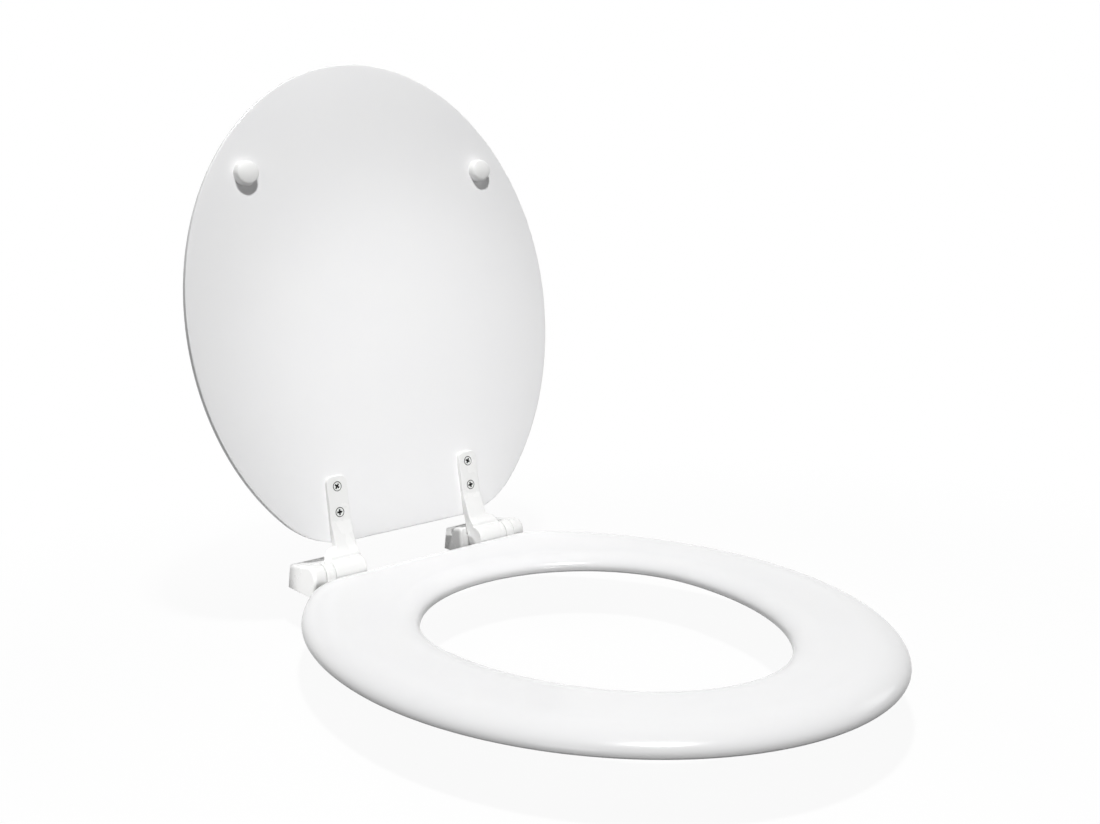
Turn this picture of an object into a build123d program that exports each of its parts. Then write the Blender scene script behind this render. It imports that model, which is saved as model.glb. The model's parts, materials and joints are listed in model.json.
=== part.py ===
from build123d import *
import math
import os

# Toilet seat with lid, in millimetres. The origin is on the bowl's deck, midway between the two
# mounting bolts. +X is right as seen from the front, +Y is to the rear and +Z is up.
# The ring lies down and the lid stands open. Ring and lid are modelled closed about the hinge
# axis: there "ahead" is the distance in front of the axis, and heights count from the axis.

# Ring and lid
SEAT_WIDTH = 362.0
FRONT_REACH = 422.2

# Seat ring
RING_T = 12.5
RING_REAR_AHEAD = 10.8
RING_WIDEST_AHEAD = 202.4
RING_REAR_SEMI_AXIS = 232.7
RING_CORNER_R = 42.0
RING_FRONT_BAND = 66.4
RING_RISE = 4.2
RING_ROUND_RATIO = 0.45
RING_OUTER_TOP_WIDTH = 24.0
RING_OUTER_BOTTOM_WIDTH = 3.0
RING_INNER_TOP_WIDTH = 20.0
RING_INNER_BOTTOM_WIDTH = 4.0
EDGE_FLAT = 0.4
HOLE_WIDTH = 220.2
HOLE_REAR_SEMI_AXIS = 111.9
HOLE_WIDEST_AHEAD = 198.4

# Lid
LID_T = 13.0
LID_REAR_AHEAD = 19.5
LID_OVERHANG = 3.2
LID_WIDEST_AHEAD = 212.8
LID_REAR_SEMI_AXIS = 219.1
LID_CORNER_R = 80.0
LID_RISE = 13.0
LID_OUTER_R = 10.0
LID_INNER_R = 1.0
LID_OPEN_ANGLE = 96.5

# Bumpers
LID_BUMPER_R = 10.5
LID_BUMPER_INSET = 61.4
LID_BUMPER_AHEAD = 327.1
BUMPER_REST_GAP = 0.3
RING_BUMPER_R = 9.0
RING_BUMPER_H = 6.0
RING_BUMPER_FRONT_INSET = 69.0
RING_BUMPER_FRONT_AHEAD = 322.0
RING_BUMPER_REAR_INSET = 39.0
RING_BUMPER_REAR_AHEAD = 140.0
BUMPER_EDGE_DRAFT = 0.8
BUMPER_DOME_H = 1.8
STEM_R = 2.4
STEM_LENGTH = 6.0
STEM_CLEARANCE = 0.05

# Hinge: barrels, arms and pins
BARREL_R = 9.5
PIN_R = 3.0
PIN_CLEARANCE = 0.05
PIN_COVER = 2.5
BARREL_GAP = 0.4
LID_ARM_INNER_X = 57.2
LID_STRAP_WIDTH = 18.4
LID_BARREL_LENGTH = 28.0
RING_BARREL_LENGTH = 8.0
RING_STRAP_WIDTH = 18.6
STRAP_T = 3.8
STRAP_CORNER_R = 5.0
LID_STRAP_END = 73.4
LID_STRAP_LEAVE = 31.0
LID_STRAP_BEND = 37.0
NECK_CLEARANCE = 0.8
FLARE_AHEAD = 18.0
FLARE_R = 9.0
RING_STRAP_START = 14.0
RING_STRAP_END = 52.0

# Arm screws
SCREW_HEAD_R = 4.0
SCREW_SHANK_R = 1.9
SCREW_BITE = 7.0
SCREW_CLEARANCE = 0.05
LID_SCREW_AHEAD = 44.3
RING_SCREW_AHEAD = 26.0
SCREW_SPACING = 20.7

# Hinge bases
BOLT_SPACING = 155.0
AXIS_AHEAD = 24.0
CHEEK_T = 6.8
EAR_T = 11.0
EAR_FOOT = 4.0
EAR_EDGE_R = 2.5
BASE_REAR = 14.3
BASE_REAR_SLOPE = 4.6
BASE_REAR_H = 18.5
PAD_FRONT_GAP = 1.0

# Bolt caps
CAP_T = 2.9
CAP_SEAT_GAP = 0.1
CAP_SIDE_GAP = 0.4
CAP_LENGTH = 15.5
CAP_EDGE_R = 0.8
REAR_WALL_T = 1.7
CAP_REAR_GAP = 0.6
TRUNNION_R = 1.1
TRUNNION_LENGTH = 2.5
NOTCH_R = 4.0

# Mounting bolts, washers and wing nuts
BOLT_HEAD_R = 7.2
BOLT_HEAD_H = 3.6
BOLT_HEAD_SINK = 0.4
BOLT_SLOT_WIDTH = 1.8
BOLT_SLOT_DEPTH = 1.6
BOLT_SHOULDER_R = 5.5
BOLT_SHOULDER_CLEARANCE = 0.2
BOLT_HEAD_CLEARANCE = 0.4
SHANK_R = 4.75
THREAD_R = 4.5
DECK_T = 18.2
BOLT_LENGTH = 31.0
BOLT_CHAMFER = 1.0
WASHER_R = 11.0
WASHER_T = 2.0
WASHER_GAP = 0.1
NUT_HUB_R = 7.5
NUT_H = 10.0
NUT_SPAN = 34.0
NUT_WING_T = 3.6
NUT_WING_R = 3.0
NUT_CLEARANCE = 0.1

# Worked out from the sizes above
RING_UNDER = RING_RISE - RING_T
RING_STRETCHED_T = RING_T / RING_ROUND_RATIO
HOLE_FRONT_SEMI_AXIS = FRONT_REACH - RING_FRONT_BAND - HOLE_WIDEST_AHEAD
RING_OUTER_BOTTOM_R = min(RING_OUTER_BOTTOM_WIDTH, RING_STRETCHED_T / 3)
RING_OUTER_TOP_R = min(RING_OUTER_TOP_WIDTH, RING_STRETCHED_T - RING_OUTER_BOTTOM_R - EDGE_FLAT)
RING_EDGE_H = RING_OUTER_TOP_R * RING_ROUND_RATIO
AXIS_Y = -AXIS_AHEAD
AXIS_Z = RING_BUMPER_H - RING_UNDER
AXIS_PLACE = Pos(0, AXIS_Y, AXIS_Z)
LID_PLACE = AXIS_PLACE * Rot(X=-LID_OPEN_ANGLE)
LID_BUMPER_X = SEAT_WIDTH / 2 - LID_BUMPER_INSET
RING_BUMPER_FRONT_X = SEAT_WIDTH / 2 - RING_BUMPER_FRONT_INSET
RING_BUMPER_REAR_X = SEAT_WIDTH / 2 - RING_BUMPER_REAR_INSET
LID_BARREL_END = LID_ARM_INNER_X + LID_BARREL_LENGTH
RING_BARREL_START = LID_BARREL_END + BARREL_GAP
RING_BARREL_END = RING_BARREL_START + RING_BARREL_LENGTH
CHEEK_X = LID_ARM_INNER_X - BARREL_GAP
EAR_X = RING_BARREL_END + BARREL_GAP
LID_SCREW_X = LID_ARM_INNER_X + LID_STRAP_WIDTH / 2
RING_SCREW_X = RING_BARREL_END - RING_STRAP_WIDTH / 2
BOLT_X = BOLT_SPACING / 2
WALL_FRONT_Y = BASE_REAR - BASE_REAR_SLOPE - REAR_WALL_T
CAP_PIVOT_Y = WALL_FRONT_Y - CAP_REAR_GAP - CAP_T / 2
CAP_PIVOT_Z = BASE_REAR_H - CAP_T / 2
PAD_H = BASE_REAR_H - CAP_T - CAP_SEAT_GAP
PAD_FRONT_Y = AXIS_Y + BARREL_R + PAD_FRONT_GAP
BOLT_SEAT_Z = PAD_H - BOLT_HEAD_SINK - BOLT_HEAD_H
WASHER_TOP_Z = -DECK_T - WASHER_GAP


def half_ellipse(x_radius, y_radius, depth, toward):
    """Half of an ellipse on the side `toward` (1 or -1 along Y), cut off straight at `depth`."""
    band = Pos(0, toward * depth / 2) * Rectangle(2 * x_radius, depth)
    return Ellipse(x_radius, y_radius) & band


def oval(width, front_semi, rear_semi, widest_ahead, rear_depth):
    """Egg outline with its widest line at `widest_ahead`, cut off `rear_depth` behind that line."""
    front = half_ellipse(width / 2, front_semi, front_semi, -1)
    rear = half_ellipse(width / 2, rear_semi, rear_depth, 1)
    return Pos(0, -widest_ahead) * (front + rear)


def panel(thickness, sketch, corner_r):
    """Flat panel with the two corners of its straight rear edge rounded."""
    solid = extrude(sketch, thickness)
    corners = solid.edges().filter_by(Axis.Z).group_by(Axis.Y)[-1]
    return fillet(corners, corner_r)


def ring_outline():
    front_semi = FRONT_REACH - RING_WIDEST_AHEAD
    rear_depth = RING_WIDEST_AHEAD - RING_REAR_AHEAD
    return oval(SEAT_WIDTH, front_semi, RING_REAR_SEMI_AXIS, RING_WIDEST_AHEAD, rear_depth)


def lid_outline():
    front_semi = FRONT_REACH + LID_OVERHANG - LID_WIDEST_AHEAD
    rear_depth = LID_WIDEST_AHEAD - LID_REAR_AHEAD
    return oval(SEAT_WIDTH, front_semi, LID_REAR_SEMI_AXIS, LID_WIDEST_AHEAD, rear_depth)


def soften(solid, top_radius, bottom_radius):
    """Rounds the outer rims of a panel's upper and lower faces."""
    upper = solid.faces().sort_by(Axis.Z)[-1].outer_wire().edges()
    solid = fillet(upper, top_radius)
    lower = solid.faces().sort_by(Axis.Z)[0].outer_wire().edges()
    return fillet(lower, bottom_radius)


def rod(radius, start_x, end_x):
    """Round bar along X."""
    return Pos((start_x + end_x) / 2, 0, 0) * Rot(Y=90) * Cylinder(radius, end_x - start_x)


def tangent_point(radius, point, turn):
    """Where a line from `point` touches a circle about the axis; `turn` is 1 or -1 for its side."""
    distance = math.hypot(point[0], point[1])
    angle = math.atan2(point[1], point[0]) + turn * math.acos(radius / distance)
    return radius * math.cos(angle), radius * math.sin(angle)


def slab(sketch, start_x, end_x):
    """Side profile drawn in (Y, Z), as a slab between two places along X."""
    return Pos(start_x, 0, 0) * extrude(Plane.YZ * sketch, end_x - start_x)


def screw_places(x, ahead):
    return [(x, -ahead), (x, -ahead - SCREW_SPACING)]


def bumper_places():
    return {
        "front": (RING_BUMPER_FRONT_X, -RING_BUMPER_FRONT_AHEAD),
        "rear": (RING_BUMPER_REAR_X, -RING_BUMPER_REAR_AHEAD),
    }


def both_sides(x, y, tool):
    """The same tool at (x, y) and mirrored at (-x, y)."""
    return [Pos(x, y, 0) * tool, Pos(-x, y, 0) * tool]


def stem_hole(face_z):
    depth = STEM_LENGTH + STEM_CLEARANCE
    return Pos(0, 0, face_z + depth / 2) * Cylinder(STEM_R + STEM_CLEARANCE, depth)


def pilot_hole(face_z):
    depth = SCREW_BITE + SCREW_CLEARANCE
    return Pos(0, 0, face_z + depth / 2) * Cylinder(SCREW_SHANK_R + SCREW_CLEARANCE, depth)


def seat_ring():
    """Ring with wide, low roundings: it is rounded while stretched upright, then set to its thickness."""
    body = panel(RING_STRETCHED_T, ring_outline(), RING_CORNER_R)
    body = soften(body, RING_OUTER_TOP_R, RING_OUTER_BOTTOM_R)
    hole = oval(HOLE_WIDTH, HOLE_FRONT_SEMI_AXIS, HOLE_REAR_SEMI_AXIS, HOLE_WIDEST_AHEAD, HOLE_REAR_SEMI_AXIS)
    body -= extrude(hole, RING_STRETCHED_T)
    body = fillet(body.faces().sort_by(Axis.Z)[-1].inner_wires()[0].edges(), RING_INNER_TOP_WIDTH)
    body = fillet(body.faces().sort_by(Axis.Z)[0].inner_wires()[0].edges(), RING_INNER_BOTTOM_WIDTH)
    body = Pos(0, 0, RING_UNDER) * scale(body, by=(1, 1, RING_ROUND_RATIO))
    for x, y in bumper_places().values():
        body -= both_sides(x, y, stem_hole(RING_UNDER))
    for x, y in screw_places(RING_SCREW_X, RING_SCREW_AHEAD):
        body -= both_sides(x, y, pilot_hole(RING_UNDER))
    return AXIS_PLACE * body


def lid():
    body = soften(panel(LID_T, lid_outline(), LID_CORNER_R), LID_OUTER_R, LID_INNER_R)
    body = Pos(0, 0, LID_RISE) * body
    body -= both_sides(LID_BUMPER_X, -LID_BUMPER_AHEAD, stem_hole(LID_RISE))
    for x, y in screw_places(LID_SCREW_X, LID_SCREW_AHEAD):
        body -= both_sides(x, y, pilot_hole(LID_RISE))
    return LID_PLACE * body


def bumper(radius, height):
    """Domed button hanging from z = 0, with a stem that goes up into the panel."""
    shoulder = (radius - BUMPER_EDGE_DRAFT, -height + BUMPER_DOME_H)
    rim = Polyline((0, -height), (0, 0), (radius, 0), shoulder)
    dome = TangentArc((0, -height), shoulder, tangent=(1, 0))
    button = revolve(Plane.XZ * make_face(rim + dome), Axis.Z)
    return button + Pos(0, 0, STEM_LENGTH / 2) * Cylinder(STEM_R, STEM_LENGTH)


def lid_bumper():
    height = LID_RISE - RING_RISE - BUMPER_REST_GAP
    return LID_PLACE * Pos(LID_BUMPER_X, -LID_BUMPER_AHEAD, LID_RISE) * bumper(LID_BUMPER_R, height)


def ring_bumper(x, y):
    return AXIS_PLACE * Pos(x, y, RING_UNDER) * bumper(RING_BUMPER_R, RING_BUMPER_H)


def countersunk(face_z, growth):
    """Countersunk screw, head flush in the plane `face_z` and pointing up; `growth` widens it for its hole."""
    head_r = SCREW_HEAD_R + growth
    shank_r = SCREW_SHANK_R + growth
    head_h = head_r - shank_r
    length = STRAP_T + SCREW_BITE
    head = Pos(0, 0, face_z + head_h / 2) * Cone(head_r, shank_r, head_h)
    return head + Pos(0, 0, face_z + length / 2) * Cylinder(shank_r, length)


def lid_strap_profile():
    """Side view of the lid arm: a strap on the lid, and a neck that drops round the ring's rear edge."""
    visible_face = LID_RISE - STRAP_T
    wrap_r = RING_EDGE_H + NECK_CLEARANCE
    wrap_y = -RING_REAR_AHEAD - RING_EDGE_H
    wrap_z = RING_RISE - RING_EDGE_H
    bend = (-LID_STRAP_BEND, visible_face)
    touch = tangent_point(wrap_r, (bend[0] - wrap_y, bend[1] - wrap_z), -1)
    neck_start = (touch[0] + wrap_y, touch[1] + wrap_z)
    neck_end = (wrap_y + math.sqrt(wrap_r**2 - wrap_z**2), 0)
    leave = (-LID_STRAP_LEAVE, LID_RISE)
    upper = [tangent_point(BARREL_R, leave, -1), leave, (-LID_STRAP_END, LID_RISE)]
    lower = [(-LID_STRAP_END, visible_face), bend, neck_start]
    outline = Polyline(*upper, *lower)
    wrap = RadiusArc(neck_start, neck_end, wrap_r)
    closing = Polyline(neck_end, tangent_point(BARREL_R, neck_end, 1), (0, 0), upper[0])
    return make_face(outline + wrap + closing)


def lid_strap_plan():
    """Front view of the lid arm: a strap with round end corners and a hollow corner at the barrel."""
    inner = LID_ARM_INNER_X
    outer = LID_ARM_INNER_X + LID_STRAP_WIDTH
    flare_r = min(FLARE_R, LID_BARREL_END - outer - EDGE_FLAT)
    flare_foot = (outer + flare_r, flare_r - FLARE_AHEAD)
    edge = Polyline((outer, -FLARE_AHEAD), (outer, -LID_STRAP_END), (inner, -LID_STRAP_END), (inner, 0))
    foot = Polyline((inner, 0), (LID_BARREL_END, 0), (LID_BARREL_END, flare_foot[1]), flare_foot)
    flare = RadiusArc(flare_foot, (outer, -FLARE_AHEAD), flare_r)
    plan = make_face(edge + foot + flare)
    ends = plan.vertices().group_by(Axis.Y)[0]
    return fillet(ends, STRAP_CORNER_R)


def pin_bar(growth):
    """Hinge pin, from inside the lid arm's barrel into the ear; `growth` widens and lengthens it for its holes."""
    start = LID_ARM_INNER_X + PIN_COVER
    end = EAR_X + EAR_T - PIN_COVER
    return rod(PIN_R + growth, start - growth, end + growth)


def lid_arm():
    strap = slab(lid_strap_profile(), LID_ARM_INNER_X, LID_BARREL_END)
    strap &= extrude(lid_strap_plan(), LID_RISE)
    arm = strap + rod(BARREL_R, LID_ARM_INNER_X, LID_BARREL_END)
    arm -= pin_bar(PIN_CLEARANCE)
    for x, y in screw_places(LID_SCREW_X, LID_SCREW_AHEAD):
        arm -= Pos(x, y, 0) * countersunk(LID_RISE - STRAP_T, SCREW_CLEARANCE)
    return LID_PLACE * arm


def lid_screws():
    screw = countersunk(LID_RISE - STRAP_T, 0)
    places = screw_places(LID_SCREW_X, LID_SCREW_AHEAD)
    return LID_PLACE * Compound([Pos(x, y, 0) * screw for x, y in places])


def ring_strap_profile():
    """Side view of the ring arm: a strap under the ring, cranked up to the barrel."""
    lower_face = RING_UNDER - STRAP_T
    heel = (-RING_REAR_AHEAD, lower_face)
    crook = (-RING_REAR_AHEAD + NECK_CLEARANCE, RING_UNDER)
    under = [tangent_point(BARREL_R, heel, 1), heel, (-RING_STRAP_END, lower_face)]
    over = [(-RING_STRAP_END, RING_UNDER), crook, tangent_point(BARREL_R, crook, -1)]
    return make_face(Polyline(*under, *over, (0, 0), under[0]))


def ring_strap_plan():
    """Plan of the ring arm: a neck as wide as its barrel and a wider strap with round corners."""
    neck = Polyline((RING_BARREL_END, 0), (RING_BARREL_START, 0), (RING_BARREL_START, -RING_STRAP_START))
    inner = RING_BARREL_END - RING_STRAP_WIDTH
    strap = Polyline(
        (RING_BARREL_START, -RING_STRAP_START),
        (inner, -RING_STRAP_START),
        (inner, -RING_STRAP_END),
        (RING_BARREL_END, -RING_STRAP_END),
        (RING_BARREL_END, 0),
    )
    plan = make_face(neck + strap)
    ends = plan.vertices().group_by(Axis.Y)[0]
    return fillet(ends, STRAP_CORNER_R)


def ring_arm():
    inner = RING_BARREL_END - RING_STRAP_WIDTH
    strap = slab(ring_strap_profile(), inner, RING_BARREL_END)
    reach = BARREL_R + RING_T + STRAP_T
    strap &= Pos(0, 0, -reach) * extrude(ring_strap_plan(), 2 * reach)
    arm = strap + rod(BARREL_R, RING_BARREL_START, RING_BARREL_END)
    arm -= pin_bar(PIN_CLEARANCE)
    for x, y in screw_places(RING_SCREW_X, RING_SCREW_AHEAD):
        arm -= Pos(x, y, 0) * countersunk(RING_UNDER - STRAP_T, SCREW_CLEARANCE)
    return AXIS_PLACE * arm


def ring_screws():
    screw = countersunk(RING_UNDER - STRAP_T, 0)
    places = screw_places(RING_SCREW_X, RING_SCREW_AHEAD)
    return AXIS_PLACE * Compound([Pos(x, y, 0) * screw for x, y in places])


def hinge_pin():
    return AXIS_PLACE * pin_bar(0)


def ear_profile():
    """Side view of a base's ear: round about the pin, sloping down to the low rear wall."""
    toe = (-EAR_FOOT, -AXIS_Z)
    heel = (BASE_REAR - AXIS_Y, -AXIS_Z)
    rear_top = (BASE_REAR - BASE_REAR_SLOPE - AXIS_Y, BASE_REAR_H - AXIS_Z)
    front = tangent_point(BARREL_R, toe, -1)
    top = tangent_point(BARREL_R, rear_top, 1)
    return Polygon(front, toe, heel, rear_top, top, align=None) + Circle(BARREL_R)


def cheek_profile():
    """Side view of a base's cheek: the part of the ear that lies behind the barrels."""
    reach = 2 * (BASE_REAR - PAD_FRONT_Y)
    behind = Pos(PAD_FRONT_Y - AXIS_Y + reach / 2, 0) * Rectangle(reach, reach)
    return ear_profile() & behind


def wall(profile, start_x, thickness, outside):
    """Side wall of a base with its free side's edges rounded; `outside` is 1 or -1 along X for that side."""
    solid = AXIS_PLACE * slab(profile, start_x, start_x + thickness)
    face = solid.faces().sort_by(Axis.X)[-1 if outside > 0 else 0]
    free = [edge for edge in face.edges() if edge.center().Z > EAR_EDGE_R / 2]
    return fillet(free, EAR_EDGE_R)


def block(x_span, y_span, z_span):
    """Box between pairs of places along each axis."""
    corner = Pos(x_span[0], y_span[0], z_span[0])
    size = (x_span[1] - x_span[0], y_span[1] - y_span[0], z_span[1] - z_span[0])
    return corner * Box(*size, align=Align.MIN)


def hinge_base():
    """Base with an ear for the pin, a cheek behind the barrels, a pad for the bolt, and a low rear wall."""
    between = (CHEEK_X, EAR_X)
    base = wall(ear_profile(), EAR_X, EAR_T, 1) + wall(cheek_profile(), CHEEK_X - CHEEK_T, CHEEK_T, -1)
    base += block(between, (PAD_FRONT_Y, WALL_FRONT_Y), (0, PAD_H))
    foot = [(WALL_FRONT_Y, 0), (BASE_REAR, 0)]
    crest = [(BASE_REAR - BASE_REAR_SLOPE, BASE_REAR_H), (WALL_FRONT_Y, BASE_REAR_H)]
    base += slab(Polygon(*foot, *crest, align=None), *between)
    base -= AXIS_PLACE * pin_bar(PIN_CLEARANCE)
    base -= trunnions(TRUNNION_R + PIN_CLEARANCE, TRUNNION_LENGTH + CAP_SIDE_GAP)
    base -= upright(BOLT_SHOULDER_R + BOLT_SHOULDER_CLEARANCE, 0, PAD_H)
    base -= upright(BOLT_HEAD_R + BOLT_HEAD_CLEARANCE, BOLT_SEAT_Z, PAD_H)
    return base - Pos(BOLT_X, CAP_PIVOT_Y - CAP_LENGTH, PAD_H) * Sphere(NOTCH_R)


def upright(radius, bottom, top):
    """Round bar on the bolt's line, between two heights."""
    return Pos(BOLT_X, 0, (bottom + top) / 2) * Cylinder(radius, top - bottom)


def trunnions(radius, reach):
    """Bar on the cap's pivot line that reaches into the cheek and the ear."""
    return Pos(0, CAP_PIVOT_Y, CAP_PIVOT_Z) * rod(radius, CHEEK_X - reach, EAR_X + reach)


def bolt_cap():
    """Flip-up cover over the bolt's head, turning on two trunnions at its round rear edge."""
    left = CHEEK_X + CAP_SIDE_GAP
    right = EAR_X - CAP_SIDE_GAP
    low = BASE_REAR_H - CAP_T
    plate = block((left, right), (CAP_PIVOT_Y - CAP_LENGTH, CAP_PIVOT_Y), (low, BASE_REAR_H))
    plate = fillet(plate.edges().filter_by(Axis.X).group_by(Axis.Y)[0].sort_by(Axis.Z)[-1], CAP_EDGE_R)
    plate += Pos(0, CAP_PIVOT_Y, CAP_PIVOT_Z) * rod(CAP_T / 2, left, right)
    return plate + trunnions(TRUNNION_R, TRUNNION_LENGTH)


def mounting_bolt():
    """Slotted bolt: head, shoulder in the base, plain shank through the deck, and threaded end."""
    head = upright(BOLT_HEAD_R, BOLT_SEAT_Z, BOLT_SEAT_Z + BOLT_HEAD_H)
    slot_z = BOLT_SEAT_Z + BOLT_HEAD_H - BOLT_SLOT_DEPTH / 2
    head -= Pos(BOLT_X, 0, slot_z) * Box(2 * BOLT_HEAD_R, BOLT_SLOT_WIDTH, BOLT_SLOT_DEPTH)
    end = upright(THREAD_R, -BOLT_LENGTH, -DECK_T)
    end = chamfer(end.edges().group_by(Axis.Z)[0], BOLT_CHAMFER)
    return head + upright(BOLT_SHOULDER_R, 0, BOLT_SEAT_Z) + upright(SHANK_R, -DECK_T, 0) + end


def bolt_washer():
    washer = upright(WASHER_R, WASHER_TOP_Z - WASHER_T, WASHER_TOP_Z)
    return washer - upright(THREAD_R + NUT_CLEARANCE, WASHER_TOP_Z - WASHER_T, WASHER_TOP_Z)


def wing_nut():
    top = WASHER_TOP_Z - WASHER_T
    wings = Pos(BOLT_X, 0, top - NUT_H / 2) * Box(NUT_SPAN, NUT_WING_T, NUT_H)
    wings = fillet(wings.edges().filter_by(Axis.Y), NUT_WING_R)
    nut = wings + upright(NUT_HUB_R, top - NUT_H, top)
    return nut - upright(THREAD_R + NUT_CLEARANCE, top - NUT_H, top)


SIDE_PIECES = {
    "lid_bumper": lid_bumper,
    "lid_arm": lid_arm,
    "lid_screws": lid_screws,
    "ring_arm": ring_arm,
    "ring_screws": ring_screws,
    "hinge_pin": hinge_pin,
    "hinge_base": hinge_base,
    "bolt_cap": bolt_cap,
    "mounting_bolt": mounting_bolt,
    "bolt_washer": bolt_washer,
    "wing_nut": wing_nut,
}


def write(name, shape):
    export_step(shape, f"parts/{name}.step")


def write_pair(name, shape):
    """A right-hand piece and its mirror image on the left."""
    write(f"{name}_right", shape)
    write(f"{name}_left", mirror(shape, about=Plane.YZ))


os.makedirs("parts", exist_ok=True)
write("seat_ring", seat_ring())
write("lid", lid())
for end, (x, y) in bumper_places().items():
    write_pair(f"ring_bumper_{end}", ring_bumper(x, y))
for name, make in SIDE_PIECES.items():
    write_pair(name, make())
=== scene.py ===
"""Looks of a household toilet seat with its lid open, built on its CAD frame, in metres."""

import json
import math

import bmesh
import bpy
from mathutils import Matrix, Vector


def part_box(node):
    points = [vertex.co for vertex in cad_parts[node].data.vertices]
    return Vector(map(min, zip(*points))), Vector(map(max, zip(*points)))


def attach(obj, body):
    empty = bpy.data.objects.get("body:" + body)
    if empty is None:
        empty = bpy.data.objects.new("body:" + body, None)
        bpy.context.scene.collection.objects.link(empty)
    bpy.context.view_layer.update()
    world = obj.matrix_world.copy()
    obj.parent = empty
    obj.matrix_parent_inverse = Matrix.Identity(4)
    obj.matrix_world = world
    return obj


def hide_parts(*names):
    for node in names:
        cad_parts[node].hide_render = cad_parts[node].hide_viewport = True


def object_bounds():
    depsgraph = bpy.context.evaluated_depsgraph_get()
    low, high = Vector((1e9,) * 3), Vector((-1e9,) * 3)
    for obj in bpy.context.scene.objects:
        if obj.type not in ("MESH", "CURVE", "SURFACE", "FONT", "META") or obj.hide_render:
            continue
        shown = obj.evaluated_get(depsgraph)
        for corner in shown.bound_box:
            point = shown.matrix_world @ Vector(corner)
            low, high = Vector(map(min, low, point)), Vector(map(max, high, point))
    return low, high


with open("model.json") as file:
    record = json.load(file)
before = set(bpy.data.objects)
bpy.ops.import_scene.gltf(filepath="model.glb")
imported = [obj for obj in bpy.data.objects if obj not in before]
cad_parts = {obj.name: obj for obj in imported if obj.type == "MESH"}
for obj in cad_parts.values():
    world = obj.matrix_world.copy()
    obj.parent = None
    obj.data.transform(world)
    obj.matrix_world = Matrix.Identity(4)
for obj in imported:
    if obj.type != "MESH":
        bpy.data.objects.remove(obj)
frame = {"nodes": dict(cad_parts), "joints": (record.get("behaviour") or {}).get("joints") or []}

bl_info = {
    "name": "Toilet Seat",
    "version": (1, 0, 0),
    "blender": (4, 5, 0),
    "location": "View3D > Sidebar > Toilet Seat",
    "description": "Builds the looks of a toilet seat with lid on its CAD frame",
    "category": "Object",
}

MM = 0.001
CAD_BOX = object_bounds()
NODES = frame["nodes"]
JOINTS = {joint["name"]: joint for joint in frame["joints"]}
SIDES = ("left", "right")

# Fineness of the meshes
RIM_STEPS = 220
CURVE_STEPS = 200
CORNER_STEPS = 60
CORNER_HALVINGS = 50
WIDE_EDGE_STEPS = 18
NARROW_EDGE_STEPS = 8
LID_OUTER_STEPS = 16
LID_INNER_STEPS = 6
BUMPER_TURNS = 72
DOME_STEPS = 12
SHOULDER_STEPS = 10
SCREW_TURNS = 96
THREAD_TURNS = 48
THREAD_ROWS_PER_PITCH = 10

# Border of a flat face, inside its rounded edge, that keeps the edge's shading off the face
FACE_BORDER = 2 * MM
WIDE_EDGE = 8 * MM

# Camera in pixels of a picture 1100 by 824 pixels: focal length and the point that it looks straight at
PICTURE_WIDTH, PICTURE_HEIGHT = 1100.0, 824.0
FOCAL_PIXELS = 1115.6
LOOK_X, LOOK_Y = 440.54, 207.01
SENSOR_WIDTH = 36.0

# Ring and lid are built closed about the hinge: there y is minus the distance ahead of the axis.
AXIS = Vector(JOINTS["lid_hinge"]["pos_m"])
LID_OPEN = math.radians(-JOINTS["lid_hinge"]["range_deg"][0])
RING_PLACE = Matrix.Translation(AXIS)
LID_PLACE = RING_PLACE @ Matrix.Rotation(-LID_OPEN, 4, "X")


def closed_box(node, place):
    """Lower and upper corners of a CAD node, back in the closed frame that `place` starts from."""
    back = place.inverted()
    spots = [back @ vert.co for vert in NODES[node].data.vertices]
    low = Vector([min(spot[i] for spot in spots) for i in range(3)])
    high = Vector([max(spot[i] for spot in spots) for i in range(3)])
    return low, high


RING_LOW, RING_HIGH = closed_box("seat_ring", RING_PLACE)
LID_LOW, LID_HIGH = closed_box("lid", LID_PLACE)


def linear(code):
    """Linear colour with full alpha from an sRGB hex value such as F4F4F0."""
    parts = [int(code[i : i + 2], 16) / 255 for i in (0, 2, 4)]
    return tuple(c / 12.92 if c <= 0.04045 else ((c + 0.055) / 1.055) ** 2.4 for c in parts) + (1.0,)


def length(name, description, default):
    return bpy.props.FloatProperty(
        name=name,
        description=description,
        default=default,
        min=0.0,
        unit="LENGTH",
        subtype="DISTANCE",
        precision=4,
    )


def colour(name, description, code):
    return bpy.props.FloatVectorProperty(
        name=name, description=description, default=linear(code), size=4, min=0.0, max=1.0, subtype="COLOR"
    )


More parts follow.
